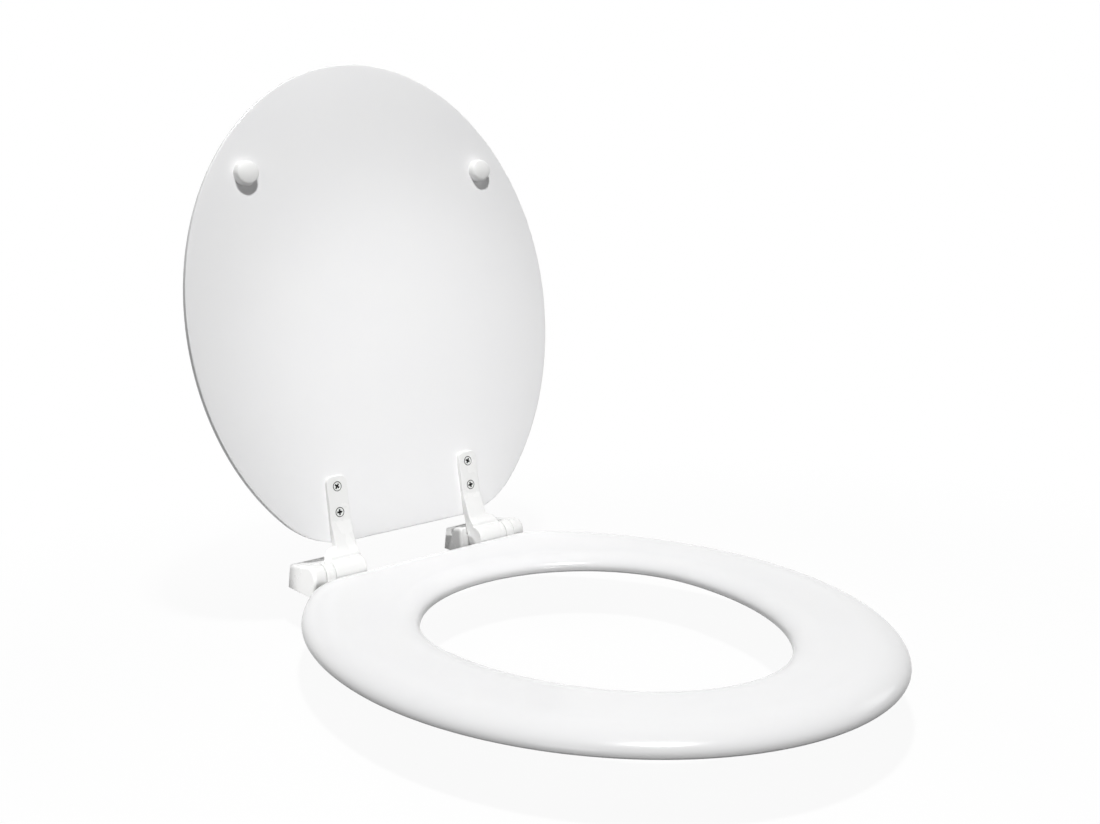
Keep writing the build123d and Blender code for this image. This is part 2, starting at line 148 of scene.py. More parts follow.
class SeatSizes(bpy.types.PropertyGroup):
    """Sizes of the seat's visible forms."""

    width: length("Width", "Width of ring and lid", RING_HIGH.x - RING_LOW.x)
    ring_front: length("Ring front", "Ring's front tip, ahead of the hinge", -RING_LOW.y)
    ring_rear: length("Ring rear", "Ring's straight rear edge, ahead of the hinge", -RING_HIGH.y)
    ring_widest: length("Ring widest", "Ring's widest line, ahead of the hinge", 202.4 * MM)
    ring_rear_semi: length("Ring rear curve", "Semi-axis of the ring's rear curve", 232.7 * MM)
    ring_corner: length("Ring corners", "Radius of the ring's rear corners", 42 * MM)
    ring_top_round: length("Ring top edge", "Width of the rounding at the ring's outer top edge", 24 * MM)
    ring_low_round: length("Ring lower edge", "Width of the rounding at the ring's outer lower edge", 3 * MM)
    hole_width: length("Hole width", "Width of the ring's opening", 220.2 * MM)
    hole_front_semi: length("Hole front", "Semi-axis of the opening's front curve", 157.4 * MM)
    hole_rear_semi: length("Hole rear", "Semi-axis of the opening's rear curve", 111.9 * MM)
    hole_widest: length("Hole widest", "Opening's widest line, ahead of the hinge", 198.4 * MM)
    hole_top_round: length("Hole top edge", "Width of the rounding at the opening's top edge", 20 * MM)
    hole_low_round: length("Hole lower edge", "Width of the rounding at the opening's lower edge", 4 * MM)
    lid_front: length("Lid front", "Lid's front tip, ahead of the hinge", -LID_LOW.y)
    lid_rear: length("Lid rear", "Lid's straight rear edge, ahead of the hinge", -LID_HIGH.y)
    lid_widest: length("Lid widest", "Lid's widest line, ahead of the hinge", 212.8 * MM)
    lid_rear_semi: length("Lid rear curve", "Semi-axis of the lid's rear curve", 219.1 * MM)
    lid_corner: length("Lid corners", "Radius of the lid's rear corners", 80 * MM)
    lid_rise: length("Lid rise", "Lid's inner face above the hinge axis when closed", LID_LOW.z)
    lid_thick: length("Lid thickness", "Thickness of the lid", LID_HIGH.z - LID_LOW.z)
    lid_outer_round: length("Lid outer edge", "Rounding round the lid's outer face", 10 * MM)
    lid_inner_round: length("Lid inner edge", "Rounding round the lid's inner face", 1 * MM)
    bumper_stem: length("Bumper stem", "Radius of the bumpers' stems", 2.4 * MM)
    screw_shank: length("Screw shank", "Radius of the arm screws' shanks", 1.9 * MM)
    bolt_radius: length("Bolt radius", "Radius of the mounting bolts over their thread", 4.5 * MM)
    thread_start: length("Thread start", "Start of the mounting bolts' thread, below the deck", 18.4 * MM)
    thread_pitch: length("Thread pitch", "Pitch of the mounting bolts' thread", 2.1 * MM)
    thread_depth: length("Thread depth", "Depth of the mounting bolts' thread", 0.8 * MM)
    round_ratio: bpy.props.FloatProperty(
        name="Rounding ratio",
        description="Height of the ring's roundings for their width",
        default=0.45,
        min=0.1,
        max=1.0,
    )


class SeatFinish(bpy.types.PropertyGroup):
    """Colours of the seat's materials."""

    enamel: colour("Enamel", "White gloss enamel of ring and lid", "F3F3F3")
    plastic: colour("Hinge plastic", "Moulded white plastic of arms, bases and caps", "EFEFEE")
    bumper: colour("Bumper plastic", "Soft white plastic of the bumpers", "F2F2F1")
    steel: colour("Screw steel", "Zinc-plated steel of screws and pins", "E0E1DF")
    # Painted shade: near-black colour laid in the screws' cross recess and round their heads' rim, where shade
    # falls.
    recess: colour("Screw recess", "Dark metal in the screws' recess and at their heads' rim", "161615")
    nylon: colour("Nylon", "Natural nylon of bolts, washers and nuts", "E6E4DC")
    floor: colour("Floor", "Pale studio floor", "FAFAF9")
    bounce: colour("Bounced light", "Tone of the light that comes back up from the floor", "707070")
    under: colour("Light under the ring", "The same tone close under the ring", "6C6C6C")


def add(tree, kind, inputs=None, **settings):
    """Adds a node, sets its properties, and sets or links each named input."""
    made = tree.nodes.new(kind)
    for name, value in settings.items():
        setattr(made, name, value)
    for socket, value in (inputs or {}).items():
        if isinstance(value, bpy.types.NodeSocket):
            tree.links.new(value, made.inputs[socket])
        else:
            made.inputs[socket].default_value = value
    return made


def seen_rays(tree):
    """Socket that is 1 for rays from the camera, in reflections and through clear pieces, and else 0."""
    rays = add(tree, "ShaderNodeLightPath").outputs
    pair = {0: rays["Is Camera Ray"], 1: rays["Is Glossy Ray"]}
    most = add(tree, "ShaderNodeMath", pair, operation="MAXIMUM")
    pair = {0: most.outputs[0], 1: rays["Is Transmission Ray"]}
    return add(tree, "ShaderNodeMath", pair, operation="MAXIMUM").outputs[0]


def blank_material(name):
    """Material with an empty node tree."""
    material = bpy.data.materials.new(name)
    material.use_nodes = True
    material.node_tree.nodes.clear()
    return material


def per_mm(size):
    """Noise scale for features of a size in millimetres, on Object coordinates in metres."""
    return 1.0 / (size * MM)


def enamel_on_wood(finish):
    """Sprayed and cured white enamel on moulded wood: deep clear gloss with sharp soft-edged highlights,
    a faint orange peel about 3 mm across, and long waves that bend the reflections a little."""
    material = blank_material("white_gloss_enamel_on_moulded_wood")
    tree = material.node_tree
    place = add(tree, "ShaderNodeTexCoord").outputs["Object"]
    peel = add(tree, "ShaderNodeTexNoise", {"Vector": place, "Scale": per_mm(3.0), "Detail": 2.0})
    wave = add(tree, "ShaderNodeTexNoise", {"Vector": place, "Scale": per_mm(70.0), "Detail": 1.0})
    cloud = add(tree, "ShaderNodeTexNoise", {"Vector": place, "Scale": per_mm(45.0), "Detail": 3.0})
    long_bump = add(
        tree, "ShaderNodeBump", {"Height": wave.outputs["Fac"], "Strength": 0.06, "Distance": 4 * MM}
    )
    bump = add(
        tree,
        "ShaderNodeBump",
        {
            "Height": peel.outputs["Fac"],
            "Normal": long_bump.outputs["Normal"],
            "Strength": 0.05,
            "Distance": 0.05 * MM,
        },
    )
    tint = add(tree, "ShaderNodeMix", {"Factor": cloud.outputs["Fac"]}, data_type="RGBA")
    tint.inputs["A"].default_value = finish.enamel
    tint.inputs["B"].default_value = linear("F1F1F2")
    gloss = add(tree, "ShaderNodeMapRange", {"Value": cloud.outputs["Fac"], "To Min": 0.16, "To Max": 0.24})
    shader = add(
        tree,
        "ShaderNodeBsdfPrincipled",
        {
            "Base Color": tint.outputs["Result"],
            "Roughness": gloss.outputs["Result"],
            "IOR": 1.5,
            "Normal": bump.outputs["Normal"],
        },
    )
    add(tree, "ShaderNodeOutputMaterial", {"Surface": shader.outputs["BSDF"]})
    return material


def moulded_polypropylene(name, code, rough, grain):
    """Injection-moulded white plastic: soft wide highlights, a fine spark-eroded grain and an uneven shine
    along the lines in which the melt flowed."""
    material = blank_material(name)
    tree = material.node_tree
    place = add(tree, "ShaderNodeTexCoord").outputs["Object"]
    pores = add(tree, "ShaderNodeTexNoise", {"Vector": place, "Scale": per_mm(grain), "Detail": 3.0})
    flow = add(tree, "ShaderNodeTexNoise", {"Vector": place, "Scale": per_mm(14.0), "Detail": 2.0})
    bump = add(tree, "ShaderNodeBump", {"Height": pores.outputs["Fac"], "Strength": 0.08, "Distance": 0.06 * MM})
    gloss = add(
        tree, "ShaderNodeMapRange", {"Value": flow.outputs["Fac"], "To Min": rough - 0.05, "To Max": rough + 0.06}
    )
    shader = add(
        tree,
        "ShaderNodeBsdfPrincipled",
        {
            "Base Color": code,
            "Roughness": gloss.outputs["Result"],
            "IOR": 1.49,
            "Normal": bump.outputs["Normal"],
        },
    )
    add(tree, "ShaderNodeOutputMaterial", {"Surface": shader.outputs["BSDF"]})
    return material


def zinc_plated_steel(finish):
    """Bright zinc on cold-headed steel: silver with turning rings about 0.3 mm apart and a slightly
    cloudy, uneven shine."""
    material = blank_material("zinc_plated_steel")
    tree = material.node_tree
    place = add(tree, "ShaderNodeTexCoord").outputs["Object"]
    fine = add(tree, "ShaderNodeTexNoise", {"Vector": place, "Scale": per_mm(0.3), "Detail": 2.0})
    cloud = add(tree, "ShaderNodeTexNoise", {"Vector": place, "Scale": per_mm(2.0), "Detail": 3.0})
    bump = add(tree, "ShaderNodeBump", {"Height": fine.outputs["Fac"], "Strength": 0.1, "Distance": 0.03 * MM})
    gloss = add(tree, "ShaderNodeMapRange", {"Value": cloud.outputs["Fac"], "To Min": 0.22, "To Max": 0.42})
    shader = add(
        tree,
        "ShaderNodeBsdfPrincipled",
        {
            "Base Color": finish.steel,
            "Metallic": 1.0,
            "Roughness": gloss.outputs["Result"],
            "Normal": bump.outputs["Normal"],
        },
    )
    add(tree, "ShaderNodeOutputMaterial", {"Surface": shader.outputs["BSDF"]})
    return material


def painted_recess_shade(finish):
    """Painted shade: a nearly black, rough colour laid in the bottom of a punched cross recess and round
    the rim of a countersunk head, where shade falls."""
    material = blank_material("painted_shade_screw_recess")
    tree = material.node_tree
    place = add(tree, "ShaderNodeTexCoord").outputs["Object"]
    rough_blotch = add(tree, "ShaderNodeTexNoise", {"Vector": place, "Scale": per_mm(0.4), "Detail": 3.0})
    gloss = add(tree, "ShaderNodeMapRange", {"Value": rough_blotch.outputs["Fac"], "To Min": 0.5, "To Max": 0.85})
    shader = add(
        tree,
        "ShaderNodeBsdfPrincipled",
        {"Base Color": finish.recess, "Metallic": 0.4, "Roughness": gloss.outputs["Result"]},
    )
    add(tree, "ShaderNodeOutputMaterial", {"Surface": shader.outputs["BSDF"]})
    return material


def studio_floor(finish):
    """Matt white paper sweep: fine fibres, plain white some way off, and a pale shadow close to the seat.
    White to the camera and in reflections; little of its light comes back up to the seat."""
    material = blank_material("matt_white_paper")
    tree = material.node_tree
    seen = seen_rays(tree)
    place = add(tree, "ShaderNodeTexCoord").outputs["Object"]
    away = add(tree, "ShaderNodeVectorMath", {0: place, 1: (0.0, -0.24, 0.0)}, operation="DISTANCE")
    far = add(
        tree,
        "ShaderNodeMapRange",
        {"Value": away.outputs["Value"], "From Min": 0.25, "From Max": 0.8, "To Min": 0.94, "To Max": 1.0},
        interpolation_type="SMOOTHSTEP",
    )
    share = add(tree, "ShaderNodeMath", {0: seen, 1: far.outputs["Result"]}, operation="MULTIPLY")
    fibre = add(tree, "ShaderNodeTexNoise", {"Vector": place, "Scale": per_mm(6.0), "Detail": 3.0})
    bump = add(tree, "ShaderNodeBump", {"Height": fibre.outputs["Fac"], "Strength": 0.05, "Distance": 0.1 * MM})
    inside = add(
        tree,
        "ShaderNodeMapRange",
        {"Value": away.outputs["Value"], "From Min": 0.1, "From Max": 0.22},
        interpolation_type="SMOOTHSTEP",
    )
    outside = add(
        tree,
        "ShaderNodeMapRange",
        {"Value": away.outputs["Value"], "From Min": 0.32, "From Max": 0.5, "To Min": 1.0, "To Max": 0.0},
        interpolation_type="SMOOTHSTEP",
    )
    under = add(
        tree, "ShaderNodeMath", {0: inside.outputs["Result"], 1: outside.outputs["Result"]}, operation="MULTIPLY"
    )
    upward = add(tree, "ShaderNodeMix", {"Factor": under.outputs[0]}, data_type="RGBA")
    upward.inputs["A"].default_value = finish.bounce
    upward.inputs["B"].default_value = finish.under
    tone = add(tree, "ShaderNodeMix", {"Factor": seen, "A": upward.outputs["Result"]}, data_type="RGBA")
    tone.inputs["B"].default_value = finish.floor
    paper = add(tree, "ShaderNodeBsdfDiffuse", {"Color": tone.outputs["Result"], "Normal": bump.outputs["Normal"]})
    white = add(tree, "ShaderNodeEmission", {"Color": (1.0, 1.0, 1.0, 1.0), "Strength": 1.0})
    blend = add(tree, "ShaderNodeMixShader", {0: share.outputs[0], 1: paper.outputs[0], 2: white.outputs[0]})
    add(tree, "ShaderNodeOutputMaterial", {"Surface": blend.outputs[0]})
    return material


MADE = {}


def material(key):
    """Material of a record slot, made once."""
    finish = bpy.context.scene.seat_finish
    makers = {
        "enamelled_wood": lambda: enamel_on_wood(finish),
        "hinge_plastic": lambda: moulded_polypropylene("white_moulded_polypropylene", finish.plastic, 0.26, 0.7),
        "bumper_plastic": lambda: moulded_polypropylene("soft_white_polyethylene", finish.bumper, 0.42, 0.5),
        "nylon": lambda: moulded_polypropylene("natural_nylon", finish.nylon, 0.48, 0.6),
        "steel": lambda: zinc_plated_steel(finish),
        # Painted shade for the screws' cross recess and heads' rim.
        "recess": lambda: painted_recess_shade(finish),
        "floor": lambda: studio_floor(finish),
    }
    if key not in MADE:
        MADE[key] = makers[key]()
    return MADE[key]


def egg_rim(width, front, widest, rear_semi, rear, corner, count):
    """Egg outline from above as (point, outward normal) pairs, evenly spaced all round, starting at the
    middle of its rear edge. A straight rear edge has its two corners rounded."""
    half = width / 2

    def on_curve(turn, semi, toward):
        point = Vector((half * math.cos(turn), -widest - toward * semi * math.sin(turn)))
        normal = Vector((math.cos(turn) / half, -toward * math.sin(turn) / semi)).normalized()
        return point, normal

    start = math.pi / 2
    line = []
    if corner:
        low, high = 0.0, math.pi / 2
        for _ in range(CORNER_HALVINGS):
            start = (low + high) / 2
            point, normal = on_curve(start, rear_semi, -1)
            if point.y - normal.y * corner < -rear - corner:
                low = start
            else:
                high = start
        centre = point - normal * corner
        line.append((Vector((0.0, -rear)), Vector((0.0, 1.0))))
        end = math.atan2(normal.y, normal.x)
        for i in range(CORNER_STEPS + 1):
            angle = math.pi / 2 + (end - math.pi / 2) * i / CORNER_STEPS
            normal = Vector((math.cos(angle), math.sin(angle)))
            line.append((centre + normal * corner, normal))
    first = 1 if corner else 0
    line += [on_curve(start * (1 - i / CURVE_STEPS), rear_semi, -1) for i in range(first, CURVE_STEPS + 1)]
    line += [on_curve(math.pi / 2 * i / CURVE_STEPS, front - widest, 1) for i in range(1, CURVE_STEPS + 1)]
    return even_loop(line, count)


def even_loop(line, count):
    """Evenly spaced (point, normal) pairs along a right half line and back along its mirror image."""
    along = [0.0]
    for (before, _), (after, _) in zip(line, line[1:]):
        along.append(along[-1] + (after - before).length)
    right = []
    step = 0
    for i in range(count + 1):
        goal = along[-1] * i / count
        while step < len(line) - 2 and along[step + 1] < goal:
            step += 1
        share = (goal - along[step]) / (along[step + 1] - along[step])
        point = line[step][0].lerp(line[step + 1][0], share)
        normal = line[step][1].lerp(line[step + 1][1], share).normalized()
        right.append((point, normal))
    mirror = Vector((-1.0, 1.0))
    return right + [(point * mirror, normal * mirror) for point, normal in reversed(right[1:-1])]


def rounded_edge(width, height, level, up, steps):
    """Section of an elliptical edge as (inset, height) pairs, from the wall to the flat face at `level`."""
    section = []
    for i in range(steps + 1):
        angle = math.pi / 2 * i / steps
        section.append((width * (1 - math.cos(angle)), level - up * height * (1 - math.sin(angle))))
    return section


def rim_loop(rim, inset, height):
    """Rim drawn in by `inset` at a height."""
    return [(point.x - normal.x * inset, point.y - normal.y * inset, height) for point, normal in rim]


def skin(loops, ring):
    """Mesh through loops of the same count. A ring joins the last loop to the first, a plug closes both ends."""
    shape = bmesh.new()
    rows = [[shape.verts.new(place) for place in loop] for loop in loops]
    count = len(rows[0])
    pairs = list(zip(rows, rows[1:]))
    if ring:
        pairs.append((rows[-1], rows[0]))
    for low, high in pairs:
        for i in range(count):
            j = (i + 1) % count
            shape.faces.new((low[i], low[j], high[j], high[i]))
    if not ring:
        shape.faces.new(rows[0])
        shape.faces.new(rows[-1])
    return shape


def lathe(profile, count):
    """Closed turned shape about Z from (radius, height) pairs that start and end on the axis."""
    shape = bmesh.new()
    rows = []
    for radius, height in profile:
        if radius == 0:
            rows.append([shape.verts.new((0.0, 0.0, height))])
            continue
        turns = [2 * math.pi * i / count for i in range(count)]
        rows.append([shape.verts.new((radius * math.cos(t), radius * math.sin(t), height)) for t in turns])
    for low, high in zip(rows, rows[1:]):
        for i in range(count):
            j = (i + 1) % count
            ends = [low[i % len(low)], low[j % len(low)], high[j % len(high)], high[i % len(high)]]
            shape.faces.new(list(dict.fromkeys(ends)))
    return shape


def mesh_of(shape, name, place=Matrix.Identity(4)):
    """Turns a bmesh into a smooth-shaded mesh with faces outward, put in its place."""
    bmesh.ops.remove_doubles(shape, verts=shape.verts, dist=0.001 * MM)
    bmesh.ops.transform(shape, matrix=place, verts=shape.verts)
    bmesh.ops.recalc_face_normals(shape, faces=shape.faces)
    mesh = bpy.data.meshes.new(name)
    shape.to_mesh(mesh)
    shape.free()
    mesh.shade_smooth()
    return mesh


def piece(name, mesh, body, slot, *nodes):
    """New piece at the origin that rides on a body, stands for its CAD nodes and has the slot's material."""
    made = bpy.data.objects.new(name, mesh)
    bpy.context.scene.collection.objects.link(made)
    if not mesh.materials:
        mesh.materials.append(material(slot))
    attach(made, body)
    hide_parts(*nodes)
    return made


def evaluated_mesh(source):
    """Plain mesh of an object with its modifiers applied. The object is removed."""
    bpy.context.view_layer.update()
    graph = bpy.context.evaluated_depsgraph_get()
    mesh = bpy.data.meshes.new_from_object(source.evaluated_get(graph), depsgraph=graph)
    bpy.data.objects.remove(source)
    return mesh


def soft_copy(node, voxel, rounds, place=Matrix.Identity(4)):
    """Copy of a CAD node with its edges softened as a moulding's are. The copy is worked on in the
    frame that `place` puts back, where its faces lie along the axes."""
    shape = bmesh.new()
    shape.from_mesh(NODES[node].data)
    bmesh.ops.remove_doubles(shape, verts=shape.verts, dist=0.002 * MM)
    bmesh.ops.transform(shape, matrix=place.inverted(), verts=shape.verts)
    mesh = bpy.data.meshes.new(node + "_copy")
    shape.to_mesh(mesh)
    shape.free()
    source = bpy.data.objects.new(node + "_copy", mesh)
    bpy.context.scene.collection.objects.link(source)
    remesh = source.modifiers.new("skin", "REMESH")
    remesh.mode = "VOXEL"
    remesh.voxel_size = voxel
    smooth = source.modifiers.new("soften", "SMOOTH")
    smooth.factor = 0.5
    smooth.iterations = rounds
    soft = evaluated_mesh(source)
    soft.transform(place)
    soft.materials.clear()
    soft.shade_smooth()
    return soft


def ring_edge(size, width, level, up):
    """Section of one of the ring's low, wide edges."""
    steps = WIDE_EDGE_STEPS if width > WIDE_EDGE else NARROW_EDGE_STEPS
    return rounded_edge(width, width * size.round_ratio, level, up, steps)


def seat_ring_mesh(size):
    """Ring between its outer rim and its opening, all edges rounded."""
    thick = RING_HIGH.z - RING_LOW.z
    rim = egg_rim(
        size.width,
        size.ring_front,
        size.ring_widest,
        size.ring_rear_semi,
        size.ring_rear,
        size.ring_corner,
        RIM_STEPS,
    )
    hole_rear = size.hole_widest - size.hole_rear_semi
    hole_front = size.hole_widest + size.hole_front_semi
    hole = egg_rim(size.hole_width, hole_front, size.hole_widest, size.hole_rear_semi, hole_rear, 0, RIM_STEPS)
    outer = [(size.ring_low_round + FACE_BORDER, 0.0)]
    outer += reversed(ring_edge(size, size.ring_low_round, 0.0, -1))
    outer += ring_edge(size, size.ring_top_round, thick, 1)
    outer.append((size.ring_top_round + FACE_BORDER, thick))
    inner = [(size.hole_top_round + FACE_BORDER, thick)]
    inner += reversed(ring_edge(size, size.hole_top_round, thick, 1))
    inner += ring_edge(size, size.hole_low_round, 0.0, -1)
    inner.append((size.hole_low_round + FACE_BORDER, 0.0))
    loops = [rim_loop(rim, inset, height) for inset, height in outer]
    loops += [rim_loop(hole, -inset, height) for inset, height in inner]
    return mesh_of(skin(loops, ring=True), "seat_ring", RING_PLACE @ Matrix.Translation((0, 0, RING_LOW.z)))


def lid_mesh(size):
    """Lid with a flat inner face and a rounded outer one."""
    rim = egg_rim(
        size.width,
        size.lid_front,
        size.lid_widest,
        size.lid_rear_semi,
        size.lid_rear,
        size.lid_corner,
        RIM_STEPS,
    )
    inner, outer = size.lid_inner_round, size.lid_outer_round
    section = [(inner + FACE_BORDER, 0.0)]
    section += reversed(rounded_edge(inner, inner, 0.0, -1, LID_INNER_STEPS))
    section += rounded_edge(outer, outer, size.lid_thick, 1, LID_OUTER_STEPS)
    section.append((outer + FACE_BORDER, size.lid_thick))
    loops = [rim_loop(rim, inset, height) for inset, height in section]
    return mesh_of(skin(loops, ring=False), "lid", LID_PLACE @ Matrix.Translation((0, 0, size.lid_rise)))


def bumper_mesh(size, radius, height, stem_length):
    """Button under z = 0: shallow dome, soft shoulder and drawn-in side, with a stem above it."""
    draft = 0.8 * MM
    drawn_in = radius - draft
    dome_height = 1.8 * MM
    soft = 1.6 * MM
    dome = (drawn_in**2 + dome_height**2) / (2 * dome_height)
    tilt = math.asin((drawn_in - soft) / (dome - soft))
    middle = -height + dome - (dome - soft) * math.cos(tilt)
    profile = []
    for i in range(DOME_STEPS + 1):
        angle = tilt * i / DOME_STEPS
        profile.append((dome * math.sin(angle), -height + dome * (1 - math.cos(angle))))
    for i in range(1, SHOULDER_STEPS + 1):
        angle = tilt + (math.pi / 2 - tilt) * i / SHOULDER_STEPS
        profile.append((drawn_in - soft + soft * math.sin(angle), middle - soft * math.cos(angle)))
    profile += [(radius - 0.04 * MM, -0.3 * MM), (radius - 0.2 * MM, 0.0)]
    profile += [(size.bumper_stem, 0.0), (size.bumper_stem, stem_length), (0.0, stem_length)]
    return mesh_of(lathe(profile, BUMPER_TURNS), "bumper")


def bumper_row(size, node, place, face):
    """Button for a CAD bumper, as a mesh and its place on the panel face at height `face`."""
    low, high = closed_box(node, place)
    mesh = bumper_mesh(size, (high.x - low.x) / 2, face - low.z, high.z - face)
    return mesh, Vector(((low.x + high.x) / 2, (low.y + high.y) / 2, face))


def cross_screw_mesh(size, head, length_below):
    """Countersunk screw with its head's face in z = 0, looking down, and a punched cross recess. Faces deep in
    the recess and round the head's rim are marked for painted shade.
    """
    shank = size.screw_shank
    on_face = 0.01 * MM
    dish = 0.05 * MM
    cross_reach = 0.7 * head
    rim_start = 0.9 * head
    profile = [(head * 0.05 * i, 0.0) for i in range(16)]
    profile += [(0.85 * head, 0.0), (0.96 * head, 0.0), (0.99 * head, 0.06 * MM), (head, 0.2 * MM)]
    profile += [(shank, head - shank), (shank, length_below - 0.6 * MM)]
    profile += [(0.3 * MM, length_below), (0.0, length_below)]
    shape = lathe(profile, SCREW_TURNS)
    for vert in shape.verts:
        away = math.hypot(vert.co.x, vert.co.y)
        if vert.co.z < on_face and away < cross_reach:
            vert.co.z = recess_depth(vert.co.x, vert.co.y, head)
        elif vert.co.z < on_face:
            vert.co.z = dish * (away / head) ** 2
    mesh = mesh_of(shape, "cross_screw")
    # Marks the faces that get painted shade: deep in the cross recess and round the head's rim.
    recess = mesh.attributes.new("recess", "BOOLEAN", "FACE")
    for face in mesh.polygons:
        away = math.hypot(face.center.x, face.center.y)
        in_cross = away < cross_reach and recess_depth(face.center.x, face.center.y, head) > 0.3 * MM
        at_rim = away > rim_start
        recess.data[face.index].value = face.center.z < 1.6 * MM and (in_cross or at_rim)
    return mesh


def screw_rows(size, node, place):
    """Mesh of an arm's two screws on both sides, from the CAD screws of the right-hand arm."""
    low, high = closed_box(node, place)
    head = (high.x - low.x) / 2
    values = {
        "Count": 2,
        "First Place": ((low.x + high.x) / 2, high.y - head, low.z),
        "Step": (0, low.y + 2 * head - high.y, 0),
        "Turn": 0.7,
        "Finish": material("steel"),
        # The marked faces get the painted shade of recess and rim.
        "Recess Finish": material("recess"),
    }
    return row_pairs(node, cross_screw_mesh(size, head, high.z - low.z), values, place)


def recess_depth(x, y, head):
    """Depth of the cross recess at a place on the screw's face."""
    arm = 0.64 * head
    width = 0.17 * head
    deepest = 1.4 * MM
    blade = min(abs(x), abs(y))
    reach = max(abs(x), abs(y))
    wall = min(max((width - blade) / (0.09 * head) + 0.5, 0.0), 1.0)
    end = min(max((arm - reach) / (0.12 * head), 0.0), 1.0)
    return deepest * wall * end * (1 - 0.35 * reach / arm)


def row_pairs_tree():
    """Geometry nodes: rows of a piece on the right and mirrored places on the left."""
    tree = bpy.data.node_groups.new("row_pairs", "GeometryNodeTree")
    sockets = {
        "Piece": "NodeSocketObject",
        "Count": "NodeSocketInt",
        "First Place": "NodeSocketVector",
        "Step": "NodeSocketVector",
        "Turn": "NodeSocketFloat",
        "Finish": "NodeSocketMaterial",
        "Recess Finish": "NodeSocketMaterial",
    }
    for name, kind in sockets.items():
        tree.interface.new_socket(name, in_out="INPUT", socket_type=kind)
    tree.interface.new_socket("Geometry", in_out="OUTPUT", socket_type="NodeSocketGeometry")
    given = add(tree, "NodeGroupInput").outputs
    rows = []
    for side in ((1.0, 1.0, 1.0), (-1.0, 1.0, 1.0)):
        first = add(tree, "ShaderNodeVectorMath", {0: given["First Place"], 1: side}, operation="MULTIPLY")
        step = add(tree, "ShaderNodeVectorMath", {0: given["Step"], 1: side}, operation="MULTIPLY")
        row = add(
            tree,
            "GeometryNodeMeshLine",
            {"Count": given["Count"], "Start Location": first.outputs[0], "Offset": step.outputs[0]},
            mode="OFFSET",
        )
        rows.append(row.outputs["Mesh"])
    both = add(tree, "GeometryNodeJoinGeometry")
    for row in rows:
        tree.links.new(row, both.inputs["Geometry"])
    index = add(tree, "GeometryNodeInputIndex").outputs[0]
    turned = add(tree, "ShaderNodeMath", {0: index, 1: given["Turn"]}, operation="MULTIPLY")
    turn = add(tree, "ShaderNodeCombineXYZ", {"Z": turned.outputs[0]})
    shape = add(tree, "GeometryNodeObjectInfo", {"Object": given["Piece"]})
    copies = add(
        tree,
        "GeometryNodeInstanceOnPoints",
        {"Points": both.outputs["Geometry"], "Instance": shape.outputs["Geometry"], "Rotation": turn.outputs[0]},
    )
    real = add(tree, "GeometryNodeRealizeInstances", {"Geometry": copies.outputs["Instances"]})
    coated = add(
        tree, "GeometryNodeSetMaterial", {"Geometry": real.outputs["Geometry"], "Material": given["Finish"]}
    )
    # Faces marked recess get the painted shade material: shade in a screw's cross recess and round its rim.
    recess = add(tree, "GeometryNodeInputNamedAttribute", {"Name": "recess"}, data_type="BOOLEAN")
    done = add(
        tree,
        "GeometryNodeSetMaterial",
        {
            "Geometry": coated.outputs["Geometry"],
            "Selection": recess.outputs["Attribute"],
            "Material": given["Recess Finish"],
        },
    )
    add(tree, "NodeGroupOutput", {"Geometry": done.outputs["Geometry"]})
    return tree


def row_pairs(name, template, values, place):
    """Mesh of a template repeated in mirrored rows, put in its place. `values` holds the tree's inputs."""
    if "row_pairs" not in MADE:
        MADE["row_pairs"] = row_pairs_tree()
    tree = MADE["row_pairs"]
    model = bpy.data.objects.new(name + "_template", template)
    bpy.context.scene.collection.objects.link(model)
    holder = bpy.data.objects.new(name + "_rows", bpy.data.meshes.new(name + "_rows"))
    bpy.context.scene.collection.objects.link(holder)
    modifier = holder.modifiers.new("rows", "NODES")
    modifier.node_group = tree
    for item in tree.interface.items_tree:
        if item.in_out == "INPUT":
            modifier[item.identifier] = model if item.name == "Piece" else values[item.name]
    mesh = evaluated_mesh(holder)
    bpy.data.objects.remove(model)
    mesh.transform(place)
    mesh.shade_smooth()
    return mesh


def threaded_end(size, radius, top, bottom, centre_x):
    """Helical thread round a bolt's lower end."""
    shape = bmesh.new()
    count = THREAD_TURNS
    pitch = size.thread_pitch
    flank_steepness = 1.6
    rows = []
    steps = int((top - bottom) / pitch * THREAD_ROWS_PER_PITCH)
    for step in range(steps + 1):
        height = top - (top - bottom) * step / steps
        fade = min(step, steps - step, THREAD_ROWS_PER_PITCH) / THREAD_ROWS_PER_PITCH
        line = []
        for i in range(count):
            angle = 2 * math.pi * i / count
            phase = ((top - height) / pitch + i / count) % 1.0
            groove = 1 - abs(2 * phase - 1)
            here = radius - size.thread_depth * (1 - min(groove * flank_steepness, 1.0) * fade)
            line.append(shape.verts.new((centre_x + here * math.cos(angle), here * math.sin(angle), height)))
        rows.append(line)
    for low, high in zip(rows, rows[1:]):
        for i in range(count):
            j = (i + 1) % count
            shape.faces.new((low[i], low[j], high[j], high[i]))
    shape.faces.new(rows[0])
    shape.faces.new(rows[-1])
    return shape


class SEAT_OT_ring(bpy.types.Operator):
    """Builds the seat ring"""

    bl_idname = "seat.ring"
    bl_label = "Seat ring"

    def execute(self, context):
        piece("ring_enamel", seat_ring_mesh(context.scene.seat_sizes), "ring", "enamelled_wood", "seat_ring")
        return {"FINISHED"}


class SEAT_OT_lid(bpy.types.Operator):
    """Builds the lid"""

    bl_idname = "seat.lid"
    bl_label = "Lid"

    def execute(self, context):
        piece("lid_enamel", lid_mesh(context.scene.seat_sizes), "lid", "enamelled_wood", "lid")
        return {"FINISHED"}


